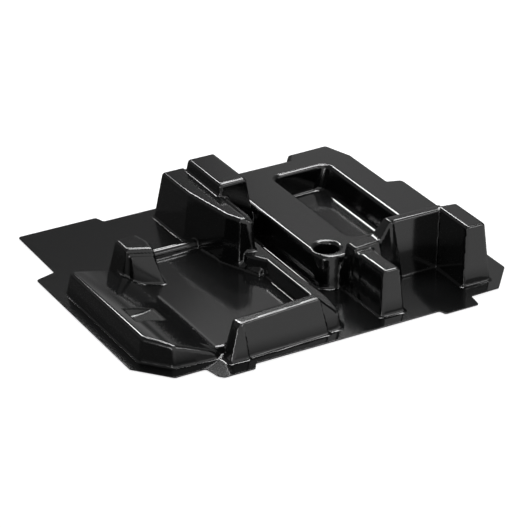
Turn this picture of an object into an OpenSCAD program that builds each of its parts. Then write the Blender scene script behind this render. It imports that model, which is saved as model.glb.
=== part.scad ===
// Tool case insert: one thin sheet of black plastic, formed over a mould.
// Flat rim all round, and on it a tool cavity, an accessory tray and a round pocket.
// Sizes in mm. X is the long way, +Y is the back of the case, Z is up.
// The underside of the rim is z = 0. Plan points are given from the middle of the sheet.

/* [Sheet] */
// width of the sheet, left to right
body_w = 369.6; // [360:1:390]
// depth of the sheet, front tab to back tab
body_d = 311.6; // [304:1:330]
// thickness of the sheet
wall = 1.2; // [0.8:0.1:2]
// slope of the formed walls, degrees off upright
draft = 7; // [3:0.5:9]
// round on the upper edges of the forms
edge_r = 3; // [2.6:0.1:4]
// fillet where a form meets the rim
foot_r = 2.4; // [1:0.1:4]

/* [Rim] */
// how far the left and right back corners sit inside the full width
ear_in = 20.6; // [12:0.5:26]
// how far the rim steps in beside the tabs
tab_step = 10; // [4:0.5:12]
// length of the slanted front corners, across
corner_cut = 26; // [14:1:34]

/* [Plateau] */
// height of the plateau above the rim
plateau_h = 28.5; // [22:0.5:36]
// width of the accessory tray at its rim
tray_w = 65; // [40:0.5:66]
// length of the accessory tray at its rim
tray_l = 145; // [90:1:146]
// depth of the accessory tray
tray_deep = 24; // [12:0.5:26]
// corner radius of the accessory tray
tray_r = 12; // [6:0.5:18]
// diameter of the round pocket at its rim
cup_d = 28; // [18:0.5:30]
// depth of the round pocket
cup_deep = 20; // [8:0.5:24]

/* [Forms] */
// height of the long lower step of the hump
hump_h = 46; // [38:0.5:50]
// height of the block on the hump
hump_top_h = 57; // [52:0.5:62]
// height of the right-hand bay walls
bay_h = 54.5; // [48:0.5:60]
// height of the front leg of the bay
leg_h = 41; // [34:0.5:44]
// height of the low wall beside the plateau
kerb_h = 15.5; // [10:0.5:20]
// height of the front wall of the tool cavity
front_h = 33; // [26:0.5:38]
// height of the left slab at its outer edge
slab_h = 22; // [16:0.5:26]
// height of the peg
peg_h = 32; // [24:0.5:38]
// height of the small bead between peg and hump
bead_h = 8.5; // [5:0.5:12]

/* [Hidden] */
arc = 12;
hair = 0.02;
hw = body_w / 2;
hd = body_d / 2;
slope = tan(draft);
foot_steps = 2;
back_y = hd - tab_step;
front_y = 7.4 - hd;

// outline points moved inward by d, the points running anticlockwise
function unit_in(a, b) = [a.y - b.y, b.x - a.x] / max(norm([b.x - a.x, b.y - a.y]), 0.001);
function moved(p, d) = [
    for (i = [0 : len(p) - 1])
        let (a = p[(i + len(p) - 1) % len(p)], b = p[i], c = p[(i + 1) % len(p)])
        let (m = unit_in(a, b), n = unit_in(b, c))
        [b.x, b.y] + d * (m + n) / (1 + m * n)
];
function flat(p) = [for (q = p) [q.x, q.y]];
function at(p, z) = [for (q = p) [q.x, q.y, z]];

// one thin level of an outline, grown by g, at height z
module level(p, g, z, r) {
    translate([0, 0, z])
        linear_extrude(height = hair)
            offset(r = r, $fn = arc)
                offset(delta = g - r)
                    polygon(flat(p));
}

// a formed mound: top corners with their heights, and a foot that is d wider all round or an outline of its own;
// inset by s for the underside
module mound(top, d, s, er = edge_r, foot = true) {
    base = is_num(d) ? moved(top, -d) : d;
    lean = is_num(d) ? d / top[0].z : slope;
    hull() {
        level(base, -s, -wall - (s > 0 ? 1 : -0.1), 2.5);
        for (i = [0 : len(top) - 1]) {
            c = moved(top, er)[i];
            translate([c.x, c.y, top[i].z - er])
                sphere(r = er - s, $fn = s > 0 ? 8 : 10);
        }
    }
    if (foot)
        skirt(base, s, foot_r + s, lean);
}

// the concave fillet round a foot, in short straight slopes that start inside the rim's thickness
module skirt(base, s, fr, lean) {
    turn = s > 0 ? acos(1 - foot_r / fr) : 88;
    under = s > 0 ? 1 : 0.4;
    for (k = [0 : foot_steps - 1]) {
        a = turn * k / foot_steps;
        b = turn * (k + 1) / foot_steps;
        low = fr * (1 - cos(a)) - s;
        top = fr * (1 - cos(b)) - s;
        run = fr * (sin(b) - sin(a)) / (top - low);
        hull() {
            level(base, fr * (1 - sin(a)) - s + (low + s + under) * run, -s - under, 4);
            level(base, fr * (1 - sin(b)) - s - lean * max(top, 0), top, 4);
        }
    }
}

// a pocket sunk from height z, deep below it, grown by s for the underside
module pocket(p, z, deep, r, s) {
    er = edge_r - s;
    in = (deep - 1) * slope;
    hull() {
        level(p, s - in, z - deep - s, max(r - in, 2));
        level(p, s - in + 1.4, z - deep - s + 0.5, max(r - in, 2) + 1.4);
        level(p, s, z - edge_r, r + s);
    }
    hull() {
        level(p, s, z - edge_r, r + s);
        level(p, s + 0.3 * er, z - s - 0.3 * er, r + s + 0.3 * er);
    }
    hull() {
        level(p, s + 0.3 * er, z - s - 0.3 * er, r + s + 0.3 * er);
        level(p, s + er, z - s, r + s + er);
        level(p, s + er, z + 2, r + s + er);
    }
}

// the trimmed edge of the sheet, with its tabs, steps and slanted corners
module trim_outline() {
    offset(r = 1.2, $fn = arc)
        offset(r = -2.4, $fn = arc)
            offset(r = 1.2, $fn = arc)
                polygon([
                    [ear_in - hw, hd],
                    [ear_in - hw - 1, 78.5],
                    [-hw, 73],
                    [-hw, corner_cut + 24.2 - hd],
                    [corner_cut - hw, 19.6 - hd],
                    [-130, 19.6 - hd],
                    [-127, 4.5 - hd],
                    [-123, -hd],
                    [-94, -hd],
                    [-89.6, front_y],
                    [91, front_y],
                    [92.8, 0.8 - hd],
                    [127, 0.8 - hd],
                    [129.3, 16.5 - hd],
                    [hw - corner_cut, 17.3 - hd],
                    [hw, corner_cut + 20.6 - hd],
                    [hw, 73],
                    [hw - ear_in + 1, 78.5],
                    [hw - ear_in, hd],
                    [86, hd],
                    [83, back_y],
                    [-83, back_y],
                    [-86, hd],
                ]);
}

// left slab: high along its outer edge, falling to the cavity
slab_edge = [
    [-170, 37, slab_h], [-170, -98.5, slab_h],
    [-151.5, -120.5, slab_h - 2], [-128, -122.5, slab_h * 0.55], [-114.5, -123, 6.5],
    [-113, -30, 3.8], [-121, 14, 7], [-127, 38, slab_h * 0.52],
];
// tool cavity floor: rises a little to the front left corner
floor_edge = [
    [-122, 50, 1.9], [-122, -20, 3.4], [-114, -124, 7],
    [-97, -124, 5.5], [-6, -118, 0.6], [-8, -18, 0.6], [-34, 54, 1.9],
];
// front wall of the cavity, its left end and its right end
front_edge = [
    [-97, -133.5, front_h - 2], [-18, -131.5, front_h + 0.5],
    [-18, -121, front_h + 0.5], [-97, -122.5, front_h - 2],
];
front_left = [
    [-98.5, -134.5, front_h - 2.4], [-92, -135, front_h - 2.4],
    [-92, -123.5, front_h - 2.4], [-98.5, -125.5, front_h - 2.4],
];
front_left_foot = [[-109, -140.5], [-90, -141], [-90, -120], [-110, -126.5]];
front_ramp = [
    [-20, -131.3, front_h - 0.5], [-3, -130.5, kerb_h + 2],
    [-3, -119, kerb_h + 2], [-20, -121, front_h - 0.5],
];
front_right = at([
    [-16, -131], [0, -130.6], [2, -119], [7.2, -104], [5.8, -92], [-5.7, -92], [-14, -112],
], kerb_h + 0.6);
// low wall between the cavity and the plateau
kerb_run = at([[-5.8, -120], [5.8, -100], [3.4, -44], [3.4, 24], [-5.8, 24]], kerb_h);
kerb_head = at([[-16.5, -5], [-8, -18], [-5.7, -27], [3.2, -27], [3.2, 12], [-14, 12]], kerb_h);
shelf_edge = [
    [-29.5, 22, 5], [-12, -16, 5], [-8.5, -13, 8], [-10, 12, 11], [-24, 26, 7],
];
// hump: a long lower step with a block on it
hump_low = at([
    [-32.8, 126.5], [-31.9, 76], [-23.5, 21.5], [-17.5, 7], [-9.6, 5.6], [-9.6, 126.5],
], hump_h);
hump_side = at([[-14, 6.8], [-6.2, 3.4], [-3.4, 16], [-3.4, 66], [-14, 66]], hump_h - 2.6);
hump_up = at([[-10.2, 57.4], [17.4, 57.4], [17.4, 119], [-10.2, 119]], hump_top_h);
// peg with its slanted front, and the bead behind the cavity
peg_edge = at([[-118.5, 51.5], [-118.5, 30], [-96, 19.5], [-93.5, 36], [-97, 53]], peg_h);
peg_foot = [[-122, 57], [-122, 30], [-117.2, 19.2], [-115.5, 14], [-92, 4.6], [-88, 36], [-93, 57]];
peg_front = at([[-116.5, 30], [-116.3, 25.6], [-98.6, 18.2], [-97, 24]], peg_h - 6.5);
bead_edge = at([[-101, 54.5], [-33, 53.8], [-33, 63.2], [-101, 64]], bead_h);
// plateau in three overlapping convex parts
deck_main = at([
    [24, -57], [26.6, -63], [33, -66], [155.5, -66], [155.5, 100], [146, 122.5], [24, 122.5],
], plateau_h);
deck_tab = at([
    [97, 60], [155.5, 60], [155.5, 104.6], [149.3, 120], [146.5, 132.6], [144, 134.4],
    [104.5, 133.4], [97, 123.5],
], plateau_h);
deck_right = at([
    [120, -66], [169.2, -66], [169.2, 33.5], [167.4, 36.8], [156.6, 40.4], [150, 42], [120, 42],
], plateau_h);
// bay: front leg, corner strip, back wall, right block
leg_edge = [
    [45.3, -129.8, leg_h], [61.8, -130.3, leg_h], [60.5, -90, leg_h], [44.4, -90, leg_h],
];
leg_foot = [[40.5, -134.8], [64.6, -135.2], [64.2, -86], [39.6, -86]];
strip_edge = at([[44, -85], [71, -83], [71, -69.5], [43.6, -70.5]], leg_h + 2);
strip_neck = at([[44, -96], [61.4, -96], [64, -80], [44, -80]], leg_h - 1.5);
back_wall = at([[84.5, -76.2], [142, -76.2], [142, -66.5], [116, -65], [84.5, -64.5]], bay_h);
sweep_low = [
    [66, -81.5, leg_h + 2.4], [79, -77.5, leg_h + 4.5], [79, -66, leg_h + 4.5], [66, -69, leg_h + 2.4],
];
sweep_high = [
    [76, -77.6, leg_h + 3], [88, -76.4, bay_h - 0.4], [88, -64.6, bay_h - 0.4], [76, -66, leg_h + 3],
];
right_block = at([[136.2, -118.8], [155.4, -119.2], [155.4, -73], [136.2, -70]], bay_h + 0.6);

// openings in the plateau
tray_x = 96.4;
tray_y = 29.4;
cup_x = 39;
cup_y = -46;
tray_edge = [
    [tray_x - tray_w / 2 + edge_r, tray_y - tray_l / 2 + edge_r],
    [tray_x + tray_w / 2 - edge_r, tray_y - tray_l / 2 + edge_r],
    [tray_x + tray_w / 2 - edge_r, tray_y + tray_l / 2 - edge_r],
    [tray_x - tray_w / 2 + edge_r, tray_y + tray_l / 2 - edge_r],
];

// every raised form, s = 0 for the upper face and s = wall for the underside
module forms(s) {
    mound(slab_edge, slab_h * slope * 1.3, s, 3);
    mound(floor_edge, 1.5, s, 1.8, false);
    mound(front_edge, front_h * slope * 1.45, s);
    mound(front_left, front_left_foot, s);
    mound(front_ramp, front_h * slope, s, edge_r, false);
    mound(front_right, kerb_h * slope * 1.4, s);
    mound(kerb_run, kerb_h * slope * 1.4, s, 2.4);
    mound(kerb_head, kerb_h * slope, s, 2.4, false);
    mound(shelf_edge, 1, s, 1.8, false);
    mound(hump_low, hump_h * slope * 1.1, s);
    mound(hump_side, hump_h * slope, s, 2.2, false);
    mound(hump_up, hump_top_h * slope, s);
    mound(peg_edge, peg_h * slope * 1.4, s);
    mound(peg_front, peg_foot, s, 2.4);
    mound(bead_edge, 1.6, s, 3.6);
    mound(deck_main, plateau_h * slope, s);
    mound(deck_tab, plateau_h * slope, s);
    mound(deck_right, plateau_h * slope, s);
    mound(leg_edge, leg_foot, s);
    mound(strip_edge, leg_h * slope, s);
    mound(strip_neck, leg_h * slope, s, 2.6, false);
    mound(back_wall, bay_h * slope * 0.7, s);
    mound(sweep_low, leg_h * slope, s, 2.6, false);
    mound(sweep_high, leg_h * slope, s, edge_r, false);
    mound(right_block, bay_h * slope * 0.7, s);
}

// the tray and the round pocket
module pockets(s) {
    pocket(tray_edge, plateau_h, tray_deep, tray_r, s);
    translate([cup_x, cup_y])
        pocket([for (a = [0 : 30 : 330]) (cup_d / 2 - edge_r) * [cos(a), sin(a)]],
            plateau_h, cup_deep, 2, s);
}

// small thumb scoop in the falling face of the left slab
module scoop(s) {
    valley = [[-154.5, -49.5, slab_h * 0.56], [-133.4, -45.6, slab_h * 0.56]];
    mouth = [[-158, -44, slab_h + 4], [-131.5, -42.5, slab_h - 2], [-127, -73, slab_h - 5], [-155, -84, slab_h + 3]];
    hull()
        for (q = concat(valley, mouth))
            translate(q)
                sphere(r = 0.6 + s, $fn = 8);
}

module case_insert() {
    color([0.05, 0.05, 0.055])
        translate([0, 0, wall])
            intersection() {
                difference() {
                    union() {
                        translate([0, 0, -wall])
                            linear_extrude(height = wall)
                                trim_outline();
                        difference() {
                            forms(0);
                            scoop(0);
                        }
                    }
                    pockets(0);
                    difference() {
                        forms(wall);
                        pockets(wall);
                        scoop(wall);
                    }
                }
                translate([0, 0, -wall])
                    linear_extrude(height = hump_top_h + bay_h)
                        trim_outline();
            }
}

case_insert();
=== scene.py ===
"""Tool case insert: the formed black sheet, with true rounds and fillets, in a pale studio.

The sheet's upper face is the level set of a distance field: drafted blocks with rounded tops join
the flat rim through fillets, and the tray and the cup are taken out of them. The sheet is worked
out in millimetres, in the frame's axes, with z = 0 at the rim's upper face, and the finished mesh
is moved to metres. The studio is in metres.
"""
import itertools
import math

import bpy
import numpy as np
import openvdb
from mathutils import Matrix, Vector


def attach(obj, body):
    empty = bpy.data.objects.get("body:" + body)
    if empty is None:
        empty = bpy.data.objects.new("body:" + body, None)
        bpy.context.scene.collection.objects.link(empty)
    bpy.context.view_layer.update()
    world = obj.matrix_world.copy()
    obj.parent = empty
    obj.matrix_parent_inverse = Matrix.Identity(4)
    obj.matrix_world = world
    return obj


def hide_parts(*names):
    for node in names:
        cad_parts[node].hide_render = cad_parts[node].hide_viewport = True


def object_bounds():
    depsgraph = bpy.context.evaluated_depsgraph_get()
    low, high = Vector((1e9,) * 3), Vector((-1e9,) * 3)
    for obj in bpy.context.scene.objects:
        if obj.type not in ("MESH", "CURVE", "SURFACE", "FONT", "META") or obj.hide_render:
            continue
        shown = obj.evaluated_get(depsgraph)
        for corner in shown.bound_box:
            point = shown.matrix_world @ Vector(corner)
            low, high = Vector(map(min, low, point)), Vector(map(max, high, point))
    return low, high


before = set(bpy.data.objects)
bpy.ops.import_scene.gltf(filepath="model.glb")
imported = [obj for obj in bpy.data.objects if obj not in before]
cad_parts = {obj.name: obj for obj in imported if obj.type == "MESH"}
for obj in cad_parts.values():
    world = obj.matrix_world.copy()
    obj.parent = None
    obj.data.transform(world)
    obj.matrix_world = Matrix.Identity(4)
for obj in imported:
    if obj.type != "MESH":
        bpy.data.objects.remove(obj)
cad_box = [list(c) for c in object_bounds()]

MM = 0.001
HALF_W = (cad_box[1][0] - cad_box[0][0]) / MM / 2
HALF_D = (cad_box[1][1] - cad_box[0][1]) / MM / 2

# the sheet
WALL = 1.2                    # thickness
DRAFT = math.tan(math.radians(7))
EDGE = 3.0                    # round on upper edges
FOOT = 2.4                    # fillet at the foot of the forms
BLEND = 3.5                   # soft transition between the slab and the cavity's floor
CROWN_BEND = 2.5              # soft bend between the planes of a crowned top
TRIM_ROUND = 2.5              # round on the corners of the trimmed outline
LIP = 0.25                    # bevel on the trimmed edge

# heights of the forms
PLATEAU = 28.5
HUMP = 46.0
BLOCK = cad_box[1][2] / MM - WALL
BAY = 54.5
LEG = 41.0
KERB = 15.5
FRONT = 33.0
SLAB = 22.0
PEG = 32.0
BEAD = 8.5

# the mesh
NEAR = 8.0                    # a form is worked out this far around its foot
FAR = 1e3                     # distance where no form is near
VOXEL = 1.3                   # grid step of the distance field
BAND = 4.0                    # largest distance that the grid holds
GRID_SIDE = 6.0               # how far the grid reaches past the rim
GRID_LOW, GRID_TALL = -5.2, 67.0
KEPT_LOW, KEPT_SIDE = -2.5, 3.0    # faces below this, or this far past the rim, are the grid's ends
MIN_SLOPE, MAX_STEP = 0.2, 0.6     # limits of one step towards the surface
KEEP = 0.39                   # share of the triangles that stays after thinning
FLAT_LIMIT = 30.0             # degrees that a shading normal may lean to a flat face


# distance field
def union_round(a, b, r):
    """Both solids, with a fillet of radius r where they meet."""
    return np.maximum(r, np.minimum(a, b)) - np.hypot(np.maximum(r - a, 0), np.maximum(r - b, 0))


def common_round(a, b, r):
    """What both solids share, with its edge rounded to radius r."""
    return np.minimum(-r, np.maximum(a, b)) + np.hypot(np.maximum(r + a, 0), np.maximum(r + b, 0))


def soft_max(a, b, k):
    """The larger of two, blended over a width k."""
    h = np.maximum(k - np.abs(a - b), 0) / k
    return np.maximum(a, b) + h * h * k / 4


def inset(outline, d):
    """Outline points, anticlockwise, moved inward by d."""
    p = np.array(outline, float)
    before, after = p - np.roll(p, 1, 0), np.roll(p, -1, 0) - p
    m = np.stack([-before[:, 1], before[:, 0]], 1) / np.linalg.norm(before, axis=1)[:, None]
    n = np.stack([-after[:, 1], after[:, 0]], 1) / np.linalg.norm(after, axis=1)[:, None]
    return p + d * (m + n) / (1 + (m * n).sum(1))[:, None]


def rectangle(xs, ys):
    return [(xs[0], ys[0]), (xs[1], ys[0]), (xs[1], ys[1]), (xs[0], ys[1])]


def plane(a, b, c):
    """Signed distance above the plane through three points, as a function."""
    n = np.cross(np.subtract(b, a), np.subtract(c, a))
    n = n / np.linalg.norm(n) * (1 if n[2] > 0 else -1)
    return lambda x, y, z: (x - a[0]) * n[0] + (y - a[1]) * n[1] + (z - a[2]) * n[2]


def polygon_distance(x, y, corners):
    """Signed distance in plan to a convex outline whose corners may vary from point to point."""
    near, inside = None, None
    for (ax, ay), (bx, by) in zip(corners, corners[1:] + corners[:1]):
        ex, ey, wx, wy = bx - ax, by - ay, x - ax, y - ay
        t = np.clip((wx * ex + wy * ey) / (ex * ex + ey * ey), 0, 1)
        d = (wx - ex * t) ** 2 + (wy - ey * t) ** 2
        left = ex * wy - ey * wx > 0
        near = d if near is None else np.minimum(near, d)
        inside = left if inside is None else inside & left
    return np.where(inside, -1, 1) * np.sqrt(near)


class Block:
    """A drafted block: a convex outline at its top and at the rim, a flat or bent top, round edges.

    foot is the outline at the rim, or how far it lies outside the top's outline. tops holds three
    points for each plane of the top, or is the top's height as a function of x.
    """

    SWEPT_SLOPE = 0.85        # turns the height above a swept top into a distance

    def __init__(self, top, h, foot=None, edge=EDGE, corner=None, tops=()):
        lean = DRAFT * h if foot is None else foot
        self.foot = inset(top, -lean) if np.isscalar(lean) else np.array(lean, float)
        self.top, self.h, self.edge = np.array(top, float), h, edge
        self.corner = edge if corner is None else corner
        self.tops = tops if callable(tops) else [plane(*t) for t in tops]
        self.low, self.high = self.foot.min(0) - NEAR, self.foot.max(0) + NEAR

    def sides(self, x, y, z):
        a, b = inset(self.foot, self.corner), inset(self.top, self.corner)
        t = z / self.h
        corners = [(p[0] + (q[0] - p[0]) * t, p[1] + (q[1] - p[1]) * t) for p, q in zip(a, b)]
        return (polygon_distance(x, y, corners) - self.corner) / math.hypot(1, DRAFT)

    def lid(self, x, y, z):
        if callable(self.tops):
            return (z - self.tops(x)) * self.SWEPT_SLOPE
        if not self.tops:
            return z - self.h
        d = self.tops[0](x, y, z)
        for t in self.tops[1:]:
            d = soft_max(d, t(x, y, z), CROWN_BEND)
        return d

    def near(self, x, y):
        return (x > self.low[0]) & (x < self.high[0]) & (y > self.low[1]) & (y < self.high[1])

    def distance(self, x, y, z):
        return common_round(self.sides(x, y, z), self.lid(x, y, z), self.edge)


def crown(points, gap=0.02, same=1e-3, upright=1e-6):
    """Point triples of the planes that form the upper hull of the points."""
    found, normals = [], []
    for a, b, c in itertools.combinations(points, 3):
        n = np.cross(np.subtract(b, a), np.subtract(c, a))
        if abs(n[2]) < upright * np.linalg.norm(n):
            continue
        if max(plane(a, b, c)(*p) for p in points) > gap:
            continue
        n = n / n[2]
        if all(np.abs(n - m).max() > same for m in normals):
            found.append((a, b, c))
            normals.append(n)
    return found


def slope_between(z0, p0, z1, p1):
    """Three points of a plane that is z0 high at p0 and z1 high at p1, level across that line."""
    across = np.array([p0[1] - p1[1], p1[0] - p0[0]])
    return [(*p0, z0), (*p1, z1), (p0[0] + across[0], p0[1] + across[1], z0)]


# forms; these walls lean by their own share of the draft
FRONT_LEAN, PEG_LEAN, BAY_LEAN = 1.45, 1.4, 0.7

# left slab, crowned: its top bends down towards the cavity
SLAB_TOP = [(-170, 37, SLAB), (-170, -98.5, SLAB), (-151.5, -120.5, 20.4), (-128, -122.5, 12.1),
            (-114.5, -123, 6.6), (-115.5, 20, 4), (-121, 14, 7), (-127, 38, 11.5)]
slab = Block([(-170, 37), (-170, -98.5), (-151.5, -120.5), (-128, -122.5), (-114.5, -123),
              (-104, -104), (-104, 37)],
             SLAB, foot=3.5, edge=3.4, corner=5, tops=crown(SLAB_TOP))

# front wall of the cavity, its left end, its ramp down and the low corner after it
front_wall = Block([(-97, -133.5), (-18, -131.5), (-18, -121), (-97, -122.5)],
                   FRONT, foot=FRONT * DRAFT * FRONT_LEAN, edge=2.0,
                   tops=[slope_between(FRONT - 2, (-97, -128), FRONT + 0.5, (-18, -128))])
front_left = Block([(-98.5, -134.5), (-92, -135), (-92, -123.5), (-98.5, -125.5)], FRONT - 2.4,
                   foot=[(-109, -140.5), (-90, -141), (-90, -120), (-110, -126.5)])
front_ramp = Block([(-22, -131.6), (-3, -130.5), (-3, -119), (-22, -121)], KERB + 8, foot=3.2,
                   tops=[slope_between(FRONT + 0.5, (-19.5, -125), KERB + 1.5, (-3, -125))])
front_right = Block([(-16, -131), (0, -130.6), (2.5, -126), (5.6, -104), (5, -92), (-5.7, -92),
                     (-14, -112)], KERB, foot=2.7, edge=1.4)

# low wall between cavity and plateau, its head, and the shelf beside the head
kerb_run = Block([(-5.8, -120), (5.8, -100), (3.4, -44), (2.7, -28), (-5.8, -28)],
                 KERB, foot=2.7, edge=1.4)
kerb_back = Block([(-5.8, -50), (3.4, -50), (3.4, 24), (-5.8, 24)], KERB, foot=2.7, edge=1.4)
kerb_head = Block([(-16.5, -5), (-5.8, -21), (3.2, -27), (3.2, 12), (-14, 12)],
                  KERB, foot=2.1, edge=2.4)
shelf = Block([(-29.5, 22), (-12, -18), (-6.5, -15), (-8, 14), (-24, 28)], 8, foot=1.6, edge=1.6,
              tops=[slope_between(5.2, (-21, 2), 11.5, (-12, 6))])

# hump: long lower step, its lower right strip, and the tall block
hump_low = Block([(-32.8, 126.5), (-31.9, 76), (-23.5, 21.5), (-17.5, 7), (-9.6, 5.6),
                  (-9.6, 126.5)], HUMP, foot=6.2)
hump_side = Block([(-14, 6.8), (-6.2, 3.4), (-3.4, 16), (-3.4, 66), (-14, 66)],
                  HUMP - 2.6, edge=2.2,
                  foot=[(-20, 2.4), (-4.8, -0.8), (-1.2, 13), (-0.6, 68), (-20, 70)])
hump_block = Block(rectangle((-10.2, 17.4), (57.4, 119)), BLOCK)

# peg, its slanted front, and the bead behind the cavity
peg = Block([(-118.5, 51.5), (-118.5, 30), (-96, 19.5), (-93.5, 36), (-97, 53)],
            PEG, foot=PEG * DRAFT * PEG_LEAN)
peg_front = Block([(-116.5, 31), (-115.4, 25.4), (-97.8, 17.4), (-96.5, 24)], PEG - 6, edge=1.5,
                  foot=[(-122, 57), (-117.2, 19.2), (-92, 4.6), (-88, 40)])
bead = Block([(-101, 54.5), (-33, 53.8), (-33, 63.2), (-101, 64)], BEAD, foot=1.6, edge=4.4)

# plateau, in parts that share one top
deck_main = Block(rectangle((24, 155.5), (-65.5, 70)), PLATEAU, corner=15,
                  foot=[(20.2, -70.2), (159, -69.5), (159, 73.5), (20.2, 73.5)])
deck_back = Block([(24, 20), (155.5, 20), (155.5, 100), (146, 122.5), (24, 122.5)],
                  PLATEAU, corner=5)
deck_tab = Block([(97, 60), (155.5, 60), (155.5, 104.6), (146.5, 132.6), (144, 134.4),
                  (104.5, 133.4), (97, 123.5)], PLATEAU)
deck_right = Block([(120, -66), (169.2, -66), (169.2, 33.5), (167.4, 36.8), (156.6, 40.4),
                    (150, 42), (120, 42)], PLATEAU)

# bay: front leg and its neck, strip with its sweep up, back wall and right block
leg = Block([(45.3, -129.8), (61.8, -130.3), (60.5, -90), (44.4, -90)], LEG,
            foot=[(40.5, -134.8), (64.6, -135.2), (64.2, -86), (39.6, -86)])
neck = Block([(44, -96), (61.4, -96), (64, -80), (44, -80)], LEG - 1.5, edge=2.6)

STRIP = LEG + 2
SWEEP_LEFT, SWEEP_W = 69.0, 18.0


def strip_height(x):
    """The strip's top, which sweeps up to the back wall."""
    t = np.clip((x - SWEEP_LEFT) / SWEEP_W, 0, 1)
    return STRIP + (BAY - STRIP) * t * t * (3 - 2 * t)


strip = Block([(44, -85), (71, -83), (71, -69.5), (43.6, -70.5)],
              STRIP, tops=strip_height, edge=2.4)
sweep = Block([(66, -83), (88, -76.4), (88, -64.6), (66, -69)],
              LEG + 8, tops=strip_height, edge=2.4)
back_wall = Block([(84.5, -76.2), (142, -76.2), (142, -66.5), (116, -65), (84.5, -64.5)],
                  BAY, foot=BAY * DRAFT * BAY_LEAN)
right_block = Block([(136.2, -118.8), (155.4, -119.2), (155.4, -73), (136.2, -70)],
                    BAY + 0.6, foot=BAY * DRAFT * BAY_LEAN)

# forms that join without a fillet between them stand in one group; the radius is the fillet
# where the group meets all that stand before it
GROUPS = [
    ([front_wall, front_left, front_ramp], FOOT),
    ([front_right, kerb_run, kerb_back, kerb_head], FOOT),
    ([shelf], 1.5),
    ([hump_low], FOOT),
    ([hump_block], 2.6),
    ([hump_side], FOOT),
    ([peg], FOOT),
    ([peg_front], 1.6),
    ([bead], 1.6),
    ([deck_main, deck_back, deck_tab, deck_right], FOOT),
    ([leg, neck, strip, sweep], FOOT),
    ([back_wall, right_block], FOOT),
]

# cavity
BED_RIGHT, BED_FRONT, BED_BACK = 6, -140, 66    # its floor and the slab lie inside these
FLOOR_EDGE = [(-118, 50), (-138, 30), (-138, -105), (-118, -123.5), (-97, -124.5), (-6, -118),
              (-6, -18), (-34, 54)]
FLOOR_CORNER, FLOOR_ROUND, FLOOR_FOOT = 3, 1.5, 1.2
FLOOR_LEAN = 0.8              # how fast the floor's border draws in with height
FLOOR_RIGHT, FLOOR_BACK, FLOOR_W, FLOOR_D = -6, 50, 110, 174
FLOOR_LOW, FLOOR_SWELL, FLOOR_RISE = 0.6, 1.3, 6.4

# thumb scoop in the slab, and the directions that its back and its ends face
SCOOP_LEFT, SCOOP_BACK, SCOOP_FRONT, SCOOP_FLOOR = -159.5, -44.5, -67.0, 12.3
SCOOP_MID, SCOOP_TILT, SCOOP_SKEW = -130, 0.06, 0.12
BACK_OUT, BACK_UP = 0.72, 0.69
END_OUT, END_UP = 0.9, 0.45

# accessory tray and round cup in the plateau
TRAY_MOUTH_X, TRAY_MOUTH_Y = (66.9, 125.9), (-40.1, 98.9)
TRAY_FLOOR_X, TRAY_FLOOR_Y = (69.6, 118.4), (-37.4, 96.2)
TRAY_DEPTH, TRAY_MID, TRAY_ROUND = 24.0, 94, 3.0
TRAY_LEAN = 0.04              # its floor is a little higher on the right
CUP_X, CUP_Y, CUP_R, CUP_DEPTH, CUP_ROUND = 39.0, -46.0, 11.0, 20.0, 2.5
tray = Block(rectangle(TRAY_FLOOR_X, TRAY_FLOOR_Y), TRAY_DEPTH, corner=10,
             foot=rectangle(TRAY_MOUTH_X, TRAY_MOUTH_Y))


def floor_height(x, y):
    """The cavity's floor: nearly level on the right, rising to the front left corner."""
    u = np.clip((FLOOR_RIGHT - x) / FLOOR_W, 0, 1.1)
    v = np.clip((FLOOR_BACK - y) / FLOOR_D, 0, 1.1)
    swell = FLOOR_SWELL * np.minimum(4 * u, 1) * (1 - v)
    return FLOOR_LOW + swell + FLOOR_RISE * u * v ** 1.3


def slab_distance(x, y, z):
    """The slab with its scoop: a nearly level floor cut in from the low side, a steep back."""
    lid = slab.lid(x, y, z)
    level = SCOOP_FLOOR - SCOOP_TILT * (x - SCOOP_MID) - z
    back = (y - SCOOP_BACK) * BACK_OUT - lid * BACK_UP
    left = (SCOOP_LEFT - x) * END_OUT - lid * END_UP
    front = (SCOOP_FRONT - SCOOP_SKEW * (SCOOP_MID - x) - y) * END_OUT - lid * END_UP
    void = common_round(common_round(level, back, 0.4), common_round(left, front, 1.5), 0.8)
    return common_round(common_round(slab.sides(x, y, z), lid, slab.edge), -void, 0.7)


def bed_distance(x, y, z):
    """The cavity's floor and the slab that runs down into it."""
    border = [tuple(p) for p in inset(FLOOR_EDGE, FLOOR_CORNER)]
    sides = polygon_distance(x, y, border) - FLOOR_CORNER + FLOOR_LEAN * z
    floor = common_round(sides, z - floor_height(x, y), FLOOR_ROUND)
    high = np.full_like(floor, FAR)
    m = slab.near(x, y)
    high[m] = slab_distance(x[m], y[m], z[m])
    return -soft_max(-floor, -high, BLEND)


def tray_distance(x, y, z):
    depth = PLATEAU - z
    floor = depth - TRAY_DEPTH + TRAY_LEAN * (x - TRAY_MID)
    return common_round(tray.sides(x, y, depth), floor, TRAY_ROUND)


def cup_distance(x, y, z):
    sides = np.hypot(x - CUP_X, y - CUP_Y) - CUP_R + (PLATEAU - z) * DRAFT
    return common_round(sides, PLATEAU - CUP_DEPTH - z, CUP_ROUND)


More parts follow.
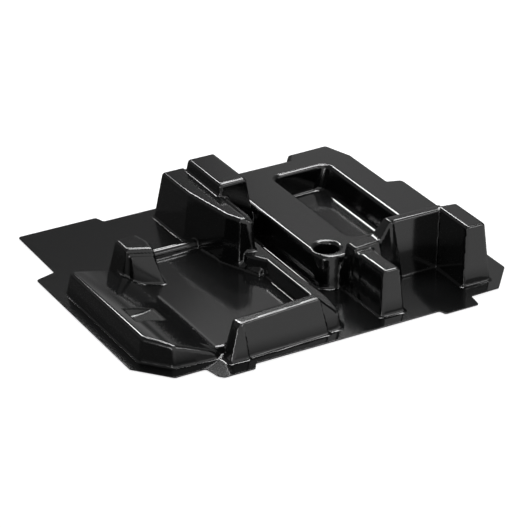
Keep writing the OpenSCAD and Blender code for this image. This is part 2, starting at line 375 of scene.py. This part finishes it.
def form(x, y, z):
    """Distance to the solid whose upper face is the sheet's upper face."""
    d = z.copy()
    m = (x < BED_RIGHT) & (y > BED_FRONT) & (y < BED_BACK)
    d[m] = union_round(d[m], bed_distance(x[m], y[m], z[m]), FLOOR_FOOT)
    for blocks, fillet in GROUPS:
        g = np.full_like(d, FAR)
        for b in blocks:
            m = b.near(x, y)
            g[m] = np.minimum(g[m], b.distance(x[m], y[m], z[m]))
        d = union_round(d, g, fillet)
    m = tray.near(x, y)
    d[m] = common_round(d[m], -tray_distance(x[m], y[m], z[m]), EDGE)
    m = np.hypot(x - CUP_X, y - CUP_Y) < CUP_R + NEAR
    d[m] = common_round(d[m], -cup_distance(x[m], y[m], z[m]), EDGE)
    return d


def slope_of(p, h=0.04):
    """Distance field's value and gradient at points p."""
    g = np.empty_like(p)
    for k in range(3):
        q = [p[:, i].copy() for i in range(3)]
        q[k] += h
        up = form(*q)
        q[k] -= 2 * h
        g[:, k] = (up - form(*q)) / (2 * h)
    return form(p[:, 0].copy(), p[:, 1].copy(), p[:, 2].copy()), g


# trimmed outline: ears at the back corners, a step between them, cut corners at the front
EAR_IN, STEP, CUT = 20.6, 10.0, 26.0
TRIM = [
    (EAR_IN - HALF_W, HALF_D), (EAR_IN - HALF_W - 1, 78.5), (-HALF_W, 73),
    (-HALF_W, CUT + 24.2 - HALF_D), (CUT - HALF_W, 19.6 - HALF_D), (-130, 19.6 - HALF_D),
    (-127, 4.5 - HALF_D), (-123, -HALF_D), (-94, -HALF_D), (-89.6, 7.4 - HALF_D),
    (91, 7.4 - HALF_D), (92.8, 0.8 - HALF_D), (127, 0.8 - HALF_D), (129.3, 16.5 - HALF_D),
    (HALF_W - CUT, 17.3 - HALF_D), (HALF_W, CUT + 20.6 - HALF_D), (HALF_W, 73),
    (HALF_W - EAR_IN + 1, 78.5), (HALF_W - EAR_IN, HALF_D), (86, HALF_D), (83, HALF_D - STEP),
    (-83, HALF_D - STEP), (-86, HALF_D)]


def rounded(outline, r, steps=5, share=0.45):
    """The outline with each corner turned into a short arc, over at most a share of its sides."""
    out = []
    n = len(outline)
    for i in range(n):
        a, b, c = (np.array(outline[(i + k) % n]) for k in (-1, 0, 1))
        before, after = np.linalg.norm(a - b), np.linalg.norm(c - b)
        u, v = (a - b) / before, (c - b) / after
        half = math.acos(np.clip(u @ v, -1, 1)) / 2
        reach = min(r / math.tan(half), share * before, share * after)
        for k in range(steps + 1):
            t = k / steps
            start, end = b + u * reach, b + v * reach
            out.append((1 - t) ** 2 * start + 2 * t * (1 - t) * b + t ** 2 * end)
    return np.array(out)


def trim_distance(x, y, outline):
    """Signed distance in plan to any outline, negative inside it."""
    near = np.full_like(x, 1e9)
    inside = np.zeros(x.shape, bool)
    for a, b in zip(outline, np.roll(outline, -1, 0)):
        e = b - a
        t = np.clip(((x - a[0]) * e[0] + (y - a[1]) * e[1]) / (e @ e), 0, 1)
        near = np.minimum(near, np.hypot(x - a[0] - e[0] * t, y - a[1] - e[1] * t))
        if a[1] != b[1]:
            inside ^= ((a[1] > y) != (b[1] > y)) & (x < e[0] * (y - a[1]) / e[1] + a[0])
    return np.where(inside, -near, near)


def outward(x, y, outline, h=0.05):
    """Level unit directions that lead out of the outline."""
    along_x = trim_distance(x + h, y, outline) - trim_distance(x - h, y, outline)
    along_y = trim_distance(x, y + h, outline) - trim_distance(x, y - h, outline)
    out = np.stack([along_x, along_y, np.zeros(len(x))], 1)
    return out / np.linalg.norm(out, axis=1)[:, None]


# mesh of the sheet
def compact(points, tris):
    """Only the points that the triangles use, and the triangles by their new numbers."""
    used, back = np.unique(tris, return_inverse=True)
    return points[used], back.reshape(-1, 3)


def surface_mesh():
    """Upper face as points and triangles, from the distance field on a regular grid."""
    low = np.array([-HALF_W - GRID_SIDE, -HALF_D - GRID_SIDE, GRID_LOW])
    size = np.array([2 * HALF_W + 2 * GRID_SIDE, 2 * HALF_D + 2 * GRID_SIDE, GRID_TALL])
    n = (size / VOXEL).astype(int)
    axes = [low[k] + VOXEL * np.arange(n[k]) for k in range(3)]
    x, y, z = (a.ravel() for a in np.meshgrid(*axes, indexing="ij"))
    field = form(x, y, z).reshape(n).astype(np.float32)
    grid = openvdb.FloatGrid()
    grid.copyFromArray(np.clip(field, -BAND, BAND))
    points, tris, quads = grid.convertToPolygons(isovalue=0.0, adaptivity=0.0)
    points = points.astype(float) * VOXEL + low
    tris = np.concatenate([tris.reshape(-1, 3), quads[:, [0, 1, 2]], quads[:, [0, 2, 3]]])
    tris = tris.astype(int)
    centre = points[tris].mean(1)
    over_sheet = (np.abs(centre[:, :2]) < np.array([HALF_W, HALF_D]) + KEPT_SIDE).all(1)
    return compact(points, tris[over_sheet & (centre[:, 2] > KEPT_LOW)])


def settle(points, rounds=3):
    """Moves points onto the surface and returns them with their normals."""
    for _ in range(rounds):
        d, g = slope_of(points)
        step = d / np.maximum((g * g).sum(1), MIN_SLOPE)
        points = points - np.clip(step, -MAX_STEP, MAX_STEP)[:, None] * g
    _, g = slope_of(points)
    return points, g / np.linalg.norm(g, axis=1)[:, None]


def cut_by_outline(points, tris, outline):
    """Trims the face along the outline, LIP inside it."""
    d = trim_distance(points[:, 0], points[:, 1], outline) + LIP
    side = d > 0
    count = side[tris].sum(1)
    whole, mixed = tris[count == 0], tris[(count == 1) | (count == 2)]
    made, extra = {}, []

    def crossing(i, j):
        key = (min(i, j), max(i, j))
        if key not in made:
            t = d[key[0]] / (d[key[0]] - d[key[1]])
            made[key] = len(points) + len(extra)
            extra.append(points[key[0]] + t * (points[key[1]] - points[key[0]]))
        return made[key]

    cut = []
    for t in mixed:
        # a is the corner that is alone on its side of the outline
        k = next(i for i in range(3)
                 if side[t[i]] != side[t[i - 1]] and side[t[i]] != side[t[(i + 1) % 3]])
        a, b, c = t[k], t[(k + 1) % 3], t[(k + 2) % 3]
        p, q = crossing(a, b), crossing(c, a)
        if side[a]:
            cut += [(p, b, c), (p, c, q)]
        else:
            cut.append((a, p, q))
    return compact(np.concatenate([points, np.array(extra)]),
                   np.concatenate([whole, np.array(cut)]))


def boundary_edges(tris):
    """Edges that only one triangle has."""
    edges = np.concatenate([tris[:, [0, 1]], tris[:, [1, 2]], tris[:, [2, 0]]])
    key = np.sort(edges, 1)
    _, first, count = np.unique(key, axis=0, return_index=True, return_counts=True)
    return edges[first[count == 1]]


def make_object(name, points, tris):
    mesh = bpy.data.meshes.new(name)
    mesh.from_pydata(points.tolist(), [], tris.tolist())
    obj = bpy.data.objects.new(name, mesh)
    bpy.context.scene.collection.objects.link(obj)
    return obj


def thinned(points, tris, keep):
    """Fewer triangles where the face is flat; the trimmed edge stays."""
    obj = make_object("thinning", points, tris)
    edge = np.unique(boundary_edges(tris))
    group = obj.vertex_groups.new(name="free")
    group.add(np.setdiff1d(np.arange(len(points)), edge).tolist(), 1.0, "REPLACE")
    mod = obj.modifiers.new("thin", "DECIMATE")
    mod.ratio, mod.vertex_group, mod.vertex_group_factor = keep, "free", 1.0
    mesh = obj.evaluated_get(bpy.context.evaluated_depsgraph_get()).to_mesh()
    mesh.calc_loop_triangles()
    p = np.array([v.co for v in mesh.vertices], float)
    t = np.array([t.vertices for t in mesh.loop_triangles], int)
    obj.to_mesh_clear()
    bpy.data.objects.remove(obj)
    return p, t


def leaning_to_flats(points, tris, normals):
    """Shading normals that follow the large flat faces, so only round edges catch the lamps."""
    corner = points[tris]
    across = np.cross(corner[:, 1] - corner[:, 0], corner[:, 2] - corner[:, 0])
    area = np.linalg.norm(across, axis=1)
    _, g = slope_of(corner.mean(1))
    g *= (area ** 2 / np.linalg.norm(g, axis=1))[:, None]
    flat = np.zeros_like(points)
    for k in range(3):
        np.add.at(flat, tris[:, k], g)
    flat /= np.maximum(np.linalg.norm(flat, axis=1), 1e-12)[:, None]
    apart = np.degrees(np.arccos(np.clip((flat * normals).sum(1), -1, 1)))
    t = np.where(apart < FLAT_LIMIT, np.clip(apart, 0, 1), 0)[:, None]
    mixed = normals * (1 - t) + flat * t
    return mixed / np.linalg.norm(mixed, axis=1)[:, None]


def edge_walls(edge, ring, n):
    """Triangles of the trimmed edge: from the upper face over both lips to the lower face."""
    at = {v: i for i, v in enumerate(ring)}
    upper, lower = 2 * n, 2 * n + len(ring)
    walls = []
    for a, b in edge:
        rings = [(a, b), (upper + at[a], upper + at[b]), (lower + at[a], lower + at[b]),
                 (n + a, n + b)]
        for (a0, b0), (a1, b1) in zip(rings, rings[1:]):
            walls += [(b0, a0, a1), (b0, a1, b1)]
    return np.array(walls)


def sheet_mesh():
    """Points, triangles and shading normals of the whole sheet."""
    outline = rounded(TRIM, TRIM_ROUND)
    points, tris = surface_mesh()
    points, normals = settle(points)
    corner = points[tris]
    facing = np.cross(corner[:, 1] - corner[:, 0], corner[:, 2] - corner[:, 0])
    if (facing * normals[tris[:, 0]]).sum(1).mean() < 0:
        tris = tris[:, ::-1]
    points, tris = cut_by_outline(points, tris, outline)
    points, tris = thinned(points, tris, KEEP)
    edge = boundary_edges(tris)
    ring = np.unique(edge)
    inner = np.setdiff1d(np.arange(len(points)), ring)
    normals = np.tile([0.0, 0.0, 1.0], (len(points), 1))
    points[inner], normals[inner] = settle(points[inner], 1)
    shading = leaning_to_flats(points, tris, normals)
    out = outward(points[ring, 0], points[ring, 1], outline)
    under = points - WALL * normals
    upper_lip = points[ring] + LIP * out - [0, 0, LIP]
    lower_lip = points[ring] + LIP * out - [0, 0, WALL - LIP]
    n = len(points)
    tris = np.concatenate([tris, n + tris[:, ::-1], edge_walls(edge, ring, n)])
    points = np.concatenate([points, under, upper_lip, lower_lip])
    normals = np.concatenate([shading, -shading, out, out])
    return points, tris, normals


def build_sheet():
    points, tris, normals = sheet_mesh()
    place = (points + [0, 0, WALL]) * MM
    # the rim's underside is at zero but for the arithmetic
    place[:, 2] = np.maximum(place[:, 2], 0)
    obj = make_object("formed_sheet", place, tris)
    obj.data.shade_smooth()
    obj.data.normals_split_custom_set_from_vertices(normals.tolist())
    return obj


# material
def set_inputs(node, **values):
    """Sets a node's inputs by name, with an underscore for each space."""
    for name, value in values.items():
        node.inputs[name.replace("_", " ")].default_value = value
    return node


def add_node(tree, kind, **values):
    return set_inputs(tree.nodes.new("ShaderNode" + kind), **values)


def black_plastic():
    mat = bpy.data.materials.new("black_plastic")
    mat.use_nodes = True
    tree = mat.node_tree
    shader = tree.nodes["Principled BSDF"]
    set_inputs(shader, Base_Color=(0.0052, 0.0054, 0.0055, 1), Roughness=0.11, IOR=1.58)
    grain = add_node(tree, "TexNoise", Scale=900, Detail=2)
    where = add_node(tree, "TexCoord")
    bump = add_node(tree, "Bump", Strength=0.008, Distance=0.0002)
    tree.links.new(where.outputs["Object"], grain.inputs["Vector"])
    tree.links.new(grain.outputs["Fac"], bump.inputs["Height"])
    tree.links.new(bump.outputs["Normal"], shader.inputs["Normal"])
    return mat


# studio
WHITE = (1, 1, 1, 1)
# the sky that gloss reflects: brightness by height, from the horizon (0) to overhead (1), times
# brightness by side, from the middle and all that is left of it (0) to the far right (1)
SKY_BY_HEIGHT = [(0.0, 0.12), (0.17, 0.14), (0.2, 0.46), (0.23, 0.46), (0.255, 0.15),
                 (0.295, 0.15), (0.325, 0.6), (0.35, 0.6), (0.37, 0.32), (0.52, 0.3), (1.0, 0.3)]
SKY_BY_SIDE = [(0.0, 0.6), (0.03, 0.5), (0.36, 0.4), (0.42, 0.47), (0.445, 1.35), (0.53, 1.25),
               (0.545, 0.45), (0.575, 0.85), (0.7, 0.6), (1.0, 0.4)]
FRONT_SKY = 0.85              # the pale room in front of the object, in reflections
FRONT_FROM, FRONT_FULL = -0.2, -0.45    # y of the direction where it starts and where it is full
AMBIENT_COLOUR, AMBIENT = (0.95, 0.97, 1, 1), 0.1

FLOOR_SIZE = 6.0
FLOOR_GAP = 0.0004            # keeps the floor off the sheet's underside
FLOOR_TURN = math.radians(8.5)
PAPER, PAPER_GLOW = 0.45, 0.74          # the floor as the camera sees it
PAPER_LIT = 0.5                         # and as it lights the object
GLOW_BACK, GLOW_FRONT = 0.08, 0.85      # and as gloss reflects it, behind and in front
GLOW_FROM, GLOW_FULL = -0.12, -0.19     # y on the floor between the two

# name, place, aim, width and depth, watts
LAMPS = [
    ("back_strip", (0.55, 1.5, 1.31), (0, 0, 0), (0.95, 0.22), 10.5),
    ("overhead", (0.62, 0.55, 1.72), (0.62, 0.55, 0), (1.0, 0.88), 33),
    ("front_high", (0.95, -1.25, 1.3), (0, 0, 0), (0.5, 0.35), 2.4),
    ("front_left", (-1.5, -0.95, 0.27), (0, 0, 0.1), (0.5, 0.45), 4),
]

# fitted to the photograph
CAMERA_PLACE = (-1.0048, -1.7688, 1.0724)
CAMERA_LOOK = (0.43794, 0.76904, -0.46561)
SENSOR, LENS = 36, 177.27
CLIP = (0.05, 50)


def aimed(direction):
    """Rotation that turns a lamp or a camera to look along the direction."""
    return direction.to_track_quat("-Z", "Y").to_euler()


def grey(value):
    return (value, value, value, 1)


def look_by_ray(tree, lit, seen, reflected, target):
    """Mixes three looks: what the camera sees, what gloss reflects, and what lights the rest."""
    path = add_node(tree, "LightPath")
    first = add_node(tree, "MixShader")
    second = add_node(tree, "MixShader")
    tree.links.new(path.outputs["Is Glossy Ray"], first.inputs[0])
    tree.links.new(lit, first.inputs[1])
    tree.links.new(reflected, first.inputs[2])
    tree.links.new(path.outputs["Is Camera Ray"], second.inputs[0])
    tree.links.new(first.outputs[0], second.inputs[1])
    tree.links.new(seen, second.inputs[2])
    tree.links.new(second.outputs[0], target)


def ramp_node(tree, stops):
    node = add_node(tree, "ValToRGB")
    while len(node.color_ramp.elements) < len(stops):
        node.color_ramp.elements.new(0.5)
    for e, (at, value) in zip(node.color_ramp.elements, stops):
        e.position = at
        e.color = grey(value)
    return node


def build_world():
    world = bpy.data.worlds.new("studio")
    bpy.context.scene.world = world
    world.use_nodes = True
    tree = world.node_tree
    tree.nodes.clear()
    out = add_node(tree, "OutputWorld")
    coord = add_node(tree, "TexCoord")
    split = add_node(tree, "SeparateXYZ")
    tree.links.new(coord.outputs["Generated"], split.inputs[0])
    height = ramp_node(tree, SKY_BY_HEIGHT)
    across = ramp_node(tree, SKY_BY_SIDE)
    tree.links.new(split.outputs["Z"], height.inputs[0])
    tree.links.new(split.outputs["X"], across.inputs[0])
    sky = add_node(tree, "Background")
    tree.links.new(height.outputs[0], sky.inputs["Color"])
    tree.links.new(across.outputs[0], sky.inputs["Strength"])
    ahead = add_node(tree, "Background", Color=WHITE, Strength=FRONT_SKY)
    turn = add_node(tree, "MapRange", From_Min=FRONT_FROM, From_Max=FRONT_FULL)
    tree.links.new(split.outputs["Y"], turn.inputs["Value"])
    room = add_node(tree, "MixShader")
    tree.links.new(turn.outputs["Result"], room.inputs[0])
    tree.links.new(sky.outputs[0], room.inputs[1])
    tree.links.new(ahead.outputs[0], room.inputs[2])
    lit = add_node(tree, "Background", Color=AMBIENT_COLOUR, Strength=AMBIENT)
    seen = add_node(tree, "Background", Color=WHITE)
    look_by_ray(tree, lit.outputs[0], seen.outputs[0], room.outputs[0], out.inputs[0])


def pale_floor():
    mat = bpy.data.materials.new("pale_floor")
    mat.use_nodes = True
    tree = mat.node_tree
    tree.nodes.clear()
    out = add_node(tree, "OutputMaterial")
    paper = add_node(tree, "BsdfDiffuse", Color=grey(PAPER))
    backlit = add_node(tree, "Emission", Strength=PAPER_GLOW)
    seen = add_node(tree, "AddShader")
    tree.links.new(paper.outputs[0], seen.inputs[0])
    tree.links.new(backlit.outputs[0], seen.inputs[1])
    lit = add_node(tree, "BsdfDiffuse", Color=grey(PAPER_LIT))
    coord = add_node(tree, "TexCoord")
    split = add_node(tree, "SeparateXYZ")
    tree.links.new(coord.outputs["Object"], split.inputs[0])
    front = add_node(tree, "MapRange", From_Min=GLOW_FROM, From_Max=GLOW_FULL,
                     To_Min=GLOW_BACK, To_Max=GLOW_FRONT)
    tree.links.new(split.outputs["Y"], front.inputs["Value"])
    glow = add_node(tree, "Emission")
    tree.links.new(front.outputs["Result"], glow.inputs["Strength"])
    look_by_ray(tree, lit.outputs[0], seen.outputs[0], glow.outputs[0], out.inputs[0])
    return mat


def build_floor():
    mesh = bpy.data.meshes.new("floor")
    s = FLOOR_SIZE / 2
    mesh.from_pydata([(-s, -s, 0), (s, -s, 0), (s, s, 0), (-s, s, 0)], [], [(0, 1, 2, 3)])
    mesh.materials.append(pale_floor())
    floor = bpy.data.objects.new("floor", mesh)
    bpy.context.scene.collection.objects.link(floor)
    floor.location.z = -FLOOR_GAP
    floor.rotation_euler.z = FLOOR_TURN


def area_light(name, place, aim, size, watts):
    data = bpy.data.lights.new(name, "AREA")
    data.shape, data.size, data.size_y = "RECTANGLE", size[0], size[1]
    data.energy = watts
    obj = bpy.data.objects.new(name, data)
    obj.location = place
    obj.rotation_euler = aimed(Vector(aim) - Vector(place))
    bpy.context.scene.collection.objects.link(obj)


def build_camera():
    data = bpy.data.cameras.new("photo_view")
    data.sensor_width, data.lens = SENSOR, LENS
    data.clip_start, data.clip_end = CLIP
    cam = bpy.data.objects.new("photo_view", data)
    cam.location = CAMERA_PLACE
    cam.rotation_euler = aimed(Vector(CAMERA_LOOK))
    bpy.context.scene.collection.objects.link(cam)
    bpy.context.scene.camera = cam


bpy.context.scene.view_settings.view_transform = "Standard"
sheet = build_sheet()
sheet.data.materials.append(black_plastic())
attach(sheet, "root")
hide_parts("case_insert")
build_world()
build_floor()
for lamp in LAMPS:
    area_light(*lamp)
build_camera()
